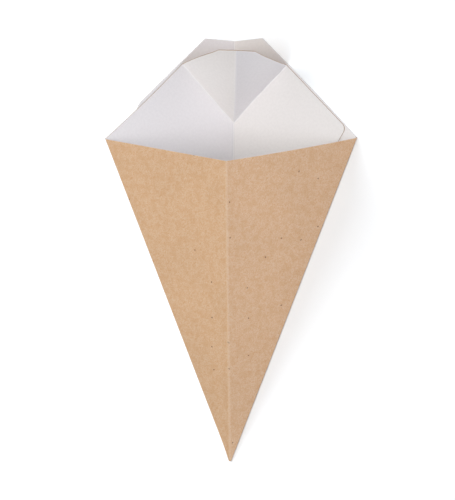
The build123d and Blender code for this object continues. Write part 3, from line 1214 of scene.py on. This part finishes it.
def kraft_material(finish, fibres, creases):
    """Uncoated brown board: pale bent fibres, orange-brown flecks, a few dark specks, paler worn folds
    and edges, a darker tone toward the point, and painted shade over the right side and beyond it."""
    material, tree, shader = new_material("kraft_outside")
    place = place_on_blank(tree)
    paper = use_group(tree, fibres, Place=place, Blotch_size=4.5, Speck_amount=0.16)
    fold = use_group(tree, creases, Band_width=1.1, Edge_width=0.35)
    colour = layered(
        tree, finish.kraft,
        (ramp(tree, paper["Grain"], 0.35, 0.65), 0.5, finish.kraft_light),
        (paper["Fibre"], 0.8, finish.kraft_light),
    )
    soft = times(tree, ramp(tree, paper["Blotch"], 0.4, 0.7), 0.36)
    strong = times(tree, paper["Fleck"], 0.5)
    colour = mix(tree, math_node(tree, "MAXIMUM", soft, strong), colour, finish.kraft_dark)
    across = node(tree, "SeparateXYZ", None, Vector=place).outputs[0]
    broad = ramp(tree, noise(tree, place, BROAD_SCALE, Detail=2.0), *BROAD_TONE)
    # Painted shade toward the right side, times a slow random tone
    tone = times(tree, ramp(tree, across, *RIGHT_SHADE_TONE), broad)
    tone = times(tree, tone, ramp(tree, from_point(tree, place), *POINT_TONE))
    colour = layered(
        tree, toned(tree, colour, tone),
        (paper["Speck"], 0.75, SPECK_BROWN),
        (fold["Band"], 0.32, WORN_KRAFT),
        (fold["Edge"], 0.35, SCUFFED_KRAFT),
    )
    height = math_node(tree, "ADD", paper["Grain"], times(tree, paper["Fibre"], 0.4))
    rough = ramp(tree, paper["Grain"], *KRAFT_ROUGHNESS)
    finish_board(tree, shader, colour, rough, height, specular=0.25, strength=0.25, depth=0.06)
    return material


def white_material(finish, fibres, creases):
    """White inside: smooth with a faint mottle, painted light that makes it lighter deep toward the
    point and darker toward the top, thin lines of painted shade beside the creases, and painted
    highlights on the creases, the pocket creases and along the cut edges."""
    material, tree, shader = new_material("white_inside")
    place = place_on_blank(tree)
    paper = use_group(tree, fibres, Place=place, Blotch_size=1.6, Speck_amount=0.0)
    fold = use_group(tree, creases, Band_width=0.8, Line_distance=0.85, Edge_width=0.5)
    shade = tuple(c * SHADE_SHARE for c in finish.white)
    colour = mix(tree, ramp(tree, paper["Blotch"], 0.3, 0.7), shade, finish.white)
    colour = layered(tree, colour, (paper["Fibre"], 0.12, shade))
    # Painted light: lighter deep toward the point, darker toward the top
    tone = ramp(tree, from_point(tree, place), *DEPTH_LIGHT_TONE)
    # Painted shade in the grooves beside a crease, painted highlights on a crease, a pocket crease and a
    # cut edge
    colour = layered(
        tree, toned(tree, colour, tone),
        (fold["Lines"], 0.25, GROOVE_SHADE_GREY),
        (fold["Band"], 0.4, CREASE_HIGHLIGHT_WHITE),
        (fold["Pocket band"], 0.35, POCKET_HIGHLIGHT_WHITE),
        (fold["Edge"], 0.5, LINER_AND_EDGE_HIGHLIGHT_WHITE),
    )
    rough = ramp(tree, paper["Grain"], *WHITE_ROUGHNESS)
    finish_board(tree, shader, colour, rough, paper["Grain"], specular=0.3, strength=0.15, depth=0.04)
    return material


def cut_material(finish, fibres):
    """Cut edge: the white liner for the part next to the white side, and brown core for the rest."""
    material, tree, shader = new_material("cut_edge")
    paper = use_group(tree, fibres, Place=place_on_blank(tree), Blotch_size=0.8, Speck_amount=0.0)
    rag = times(tree, math_node(tree, "SUBTRACT", paper["Grain"], 0.5), 0.3)
    layer = ramp(tree, math_node(tree, "ADD", attribute(tree, "through"), rag), 0.05, 0.25)
    colour = mix(tree, layer, LINER_AND_EDGE_HIGHLIGHT_WHITE, finish.core)
    finish_board(tree, shader, colour, 0.9, paper["Grain"], specular=0.2, strength=0.4, depth=0.05)
    return material


def floor_material(studio):
    """A matt floor with a faint grain, that gives out a little light of its own."""
    material, tree, shader = new_material("floor")
    place = node(tree, "TexCoord").outputs["Object"]
    grain = node(tree, "TexNoise", None, Vector=place, Scale=40.0, Detail=2.0).outputs[0]
    low = tuple(c * 0.99 for c in studio.floor)
    put(tree, shader.inputs["Base Color"], mix(tree, ramp(tree, grain, 0.3, 0.7), low, studio.floor))
    shader.inputs["Roughness"].default_value = 0.9
    shader.inputs["Specular IOR Level"].default_value = 0.1
    shader.inputs["Emission Color"].default_value = (1, 1, 1, 1)
    shader.inputs["Emission Strength"].default_value = studio.glow
    return material


# Studio

# Camera, as the photograph was taken: angles in degrees, lengths in metres, places in pixels
CAMERA_YAW = -2.6942
CAMERA_RISE = 7.727
CAMERA_ROLL = -0.1055
CAMERA_DISTANCE = 1.3
CAMERA_TARGET = np.array([0, 0, 0.125])
PIXELS_PER_METRE = 1678.1
TARGET_PIXEL = (230.25, 255.7)
PICTURE = (455, 500)

# Lights: colour, bearing from +X toward +Y and height above the floor in degrees, and width
LIGHTS = {
    "right": ((0.97, 0.99, 1.14), 4, 20, 1.0),
    "ground": ((1.0, 1.0, 1.0), 158, 49, 0.6),
    "left": ((1.0, 1.0, 1.0), 180, 38, 1.0),
    "mouth": ((1.02, 1.0, 0.98), 135, 45, 1.0),
    "point": ((0.97, 1.0, 1.04), 240, 60, 1.0),
    "high": ((1.02, 1.0, 0.95), 0, 89.9, 1.0),
}
LIGHT_DISTANCE = 1.6
LIT_MIDDLE = np.array([0, 0, 0.03])

# What these lights do with the floor: leave it out, or light nothing else
FLOOR_LIGHTING = {"right": "EXCLUDE", "ground": "INCLUDE"}
FLOOR_HALF_SIDE = 12.0


def camera_axes():
    """Right, up and forward of the camera in the standing cone's frame."""
    yaw, rise, roll = (math.radians(a) for a in (CAMERA_YAW, CAMERA_RISE, CAMERA_ROLL))
    level = np.array([math.sin(yaw), math.cos(yaw), 0])
    forward = level * math.cos(rise) - np.array([0, 0, math.sin(rise)])
    right = np.array([math.cos(yaw), -math.sin(yaw), 0])
    up = np.cross(right, forward)
    rolled_right = math.cos(roll) * right - math.sin(roll) * up
    rolled_up = math.sin(roll) * right + math.cos(roll) * up
    return rolled_right, rolled_up, forward


def place_facing(thing, location, right, up, back):
    """Put a camera or light at a place with its three axes."""
    matrix = Matrix.Identity(4)
    for i, axis in enumerate((right, up, back, location)):
        for j in range(3):
            matrix[j][i] = float(axis[j])
    thing.matrix_world = matrix


def add_object(name, data):
    """An object for some data, in the scene."""
    thing = bpy.data.objects.new(name, data)
    bpy.context.scene.collection.objects.link(thing)
    return thing


def add_camera(f):
    """The camera, turned with the cone as it is laid down."""
    turn, shift = rest_place(f, weld(fold_sheet(f))[0])
    right, up, forward = (turn @ axis for axis in camera_axes())
    target = turn @ CAMERA_TARGET + shift
    data = bpy.data.cameras.new("camera")
    data.sensor_fit = "VERTICAL"
    data.sensor_height = 36
    data.lens = PIXELS_PER_METRE * CAMERA_DISTANCE / PICTURE[1] * data.sensor_height
    data.shift_x = (PICTURE[0] / 2 - TARGET_PIXEL[0]) / PICTURE[1]
    data.shift_y = (TARGET_PIXEL[1] - PICTURE[1] / 2) / PICTURE[1]
    data.clip_end = 50
    camera = add_object("camera", data)
    place_facing(camera, target - forward * CAMERA_DISTANCE, right, up, -forward)
    bpy.context.scene.camera = camera


def add_floor(studio):
    """A large square floor."""
    side = FLOOR_HALF_SIDE
    corners = [(-side, -side, 0), (side, -side, 0), (side, side, 0), (-side, side, 0)]
    mesh = bpy.data.meshes.new("floor")
    mesh.from_pydata(corners, [], [(0, 1, 2, 3)])
    mesh.materials.append(floor_material(studio))
    return add_object("floor", mesh)


def add_light(name, power):
    """A square soft light that faces the cone's middle, placed by its bearing and height."""
    colour, bearing, height, width = LIGHTS[name]
    data = bpy.data.lights.new(name, "AREA")
    data.energy = power
    data.color = colour
    data.shape = "SQUARE"
    data.size = width
    light = add_object(name, data)
    a, b = math.radians(bearing), math.radians(height)
    back = np.array([math.cos(b) * math.cos(a), math.cos(b) * math.sin(a), math.sin(b)])
    right = unit(np.cross([0, 0, 1.0], back))
    place_facing(light, LIT_MIDDLE + LIGHT_DISTANCE * back, right, np.cross(back, right), back)
    return light


# Operators

class CONE_OT_board(Operator):
    """Fold the board cone, and give it its brown, white and cut-edge finishes"""

    bl_idname = "cone.board"
    bl_label = "Folded board cone"

    def execute(self, context):
        scene = context.scene
        finish = scene.cone_finish
        mesh = build_mesh(cone_form(scene.cone_board, scene.cone_blank, scene.cone_pocket))
        fibres = fibre_group()
        creases = crease_group()
        mesh.materials.append(kraft_material(finish, fibres, creases))
        mesh.materials.append(white_material(finish, fibres, creases))
        mesh.materials.append(cut_material(finish, fibres))
        piece = add_object(NODE + "_paper", mesh)
        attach(piece, "root")
        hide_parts(NODE)
        return {"FINISHED"}


class CONE_OT_studio(Operator):
    """Add the floor, the soft lights and the camera. The low light at the right leaves the floor out,
    and one from the left is for the floor alone: it lays the cone's soft shadow beside it"""

    bl_idname = "cone.studio"
    bl_label = "Studio"

    def execute(self, context):
        scene = context.scene
        studio = scene.cone_studio
        add_camera(cone_form(scene.cone_board, scene.cone_blank, scene.cone_pocket))
        floor = add_floor(studio)
        for name in LIGHTS:
            light = add_light(name, getattr(studio, name))
            if name in FLOOR_LIGHTING:
                linked = bpy.data.collections.new("floor_" + name)
                linked.objects.link(floor)
                linked.collection_objects[0].light_linking.link_state = FLOOR_LIGHTING[name]
                light.light_linking.receiver_collection = linked
        world = bpy.data.worlds.new("studio")
        world.use_nodes = True
        background = next(n for n in world.node_tree.nodes if n.type == "BACKGROUND")
        background.inputs[0].default_value = (1.0, 1.0, 1.0, 1)
        background.inputs[1].default_value = studio.sky
        scene.world = world
        scene.view_settings.view_transform = "Standard"
        scene.view_settings.look = "None"
        return {"FINISHED"}


class CONE_PT_panel(Panel):
    """Sizes and colours of the board cone, and its operators"""

    bl_idname = "CONE_PT_panel"
    bl_label = "Board Cone"
    bl_space_type = "VIEW_3D"
    bl_region_type = "UI"
    bl_category = "Board Cone"

    def draw(self, context):
        scene = context.scene
        for settings in (scene.cone_board, scene.cone_blank, scene.cone_pocket, scene.cone_finish,
                         scene.cone_studio):
            box = self.layout.box()
            for name in settings.bl_rna.properties.keys():
                if name not in ("rna_type", "name"):
                    box.prop(settings, name)
        self.layout.operator(CONE_OT_board.bl_idname)
        self.layout.operator(CONE_OT_studio.bl_idname)


CLASSES = (ConeBoard, ConeBlank, ConePocket, ConeFinish, ConeStudio, CONE_OT_board, CONE_OT_studio,
           CONE_PT_panel)
SETTINGS = {
    "cone_board": ConeBoard,
    "cone_blank": ConeBlank,
    "cone_pocket": ConePocket,
    "cone_finish": ConeFinish,
    "cone_studio": ConeStudio,
}


def register():
    for one in CLASSES:
        bpy.utils.register_class(one)
    for name, kind in SETTINGS.items():
        setattr(bpy.types.Scene, name, PointerProperty(type=kind))


def unregister():
    for name in SETTINGS:
        delattr(bpy.types.Scene, name)
    for one in reversed(CLASSES):
        bpy.utils.unregister_class(one)


def main():
    register()
    bpy.ops.cone.board()
    bpy.ops.cone.studio()


if __name__ == "__main__":
    main()
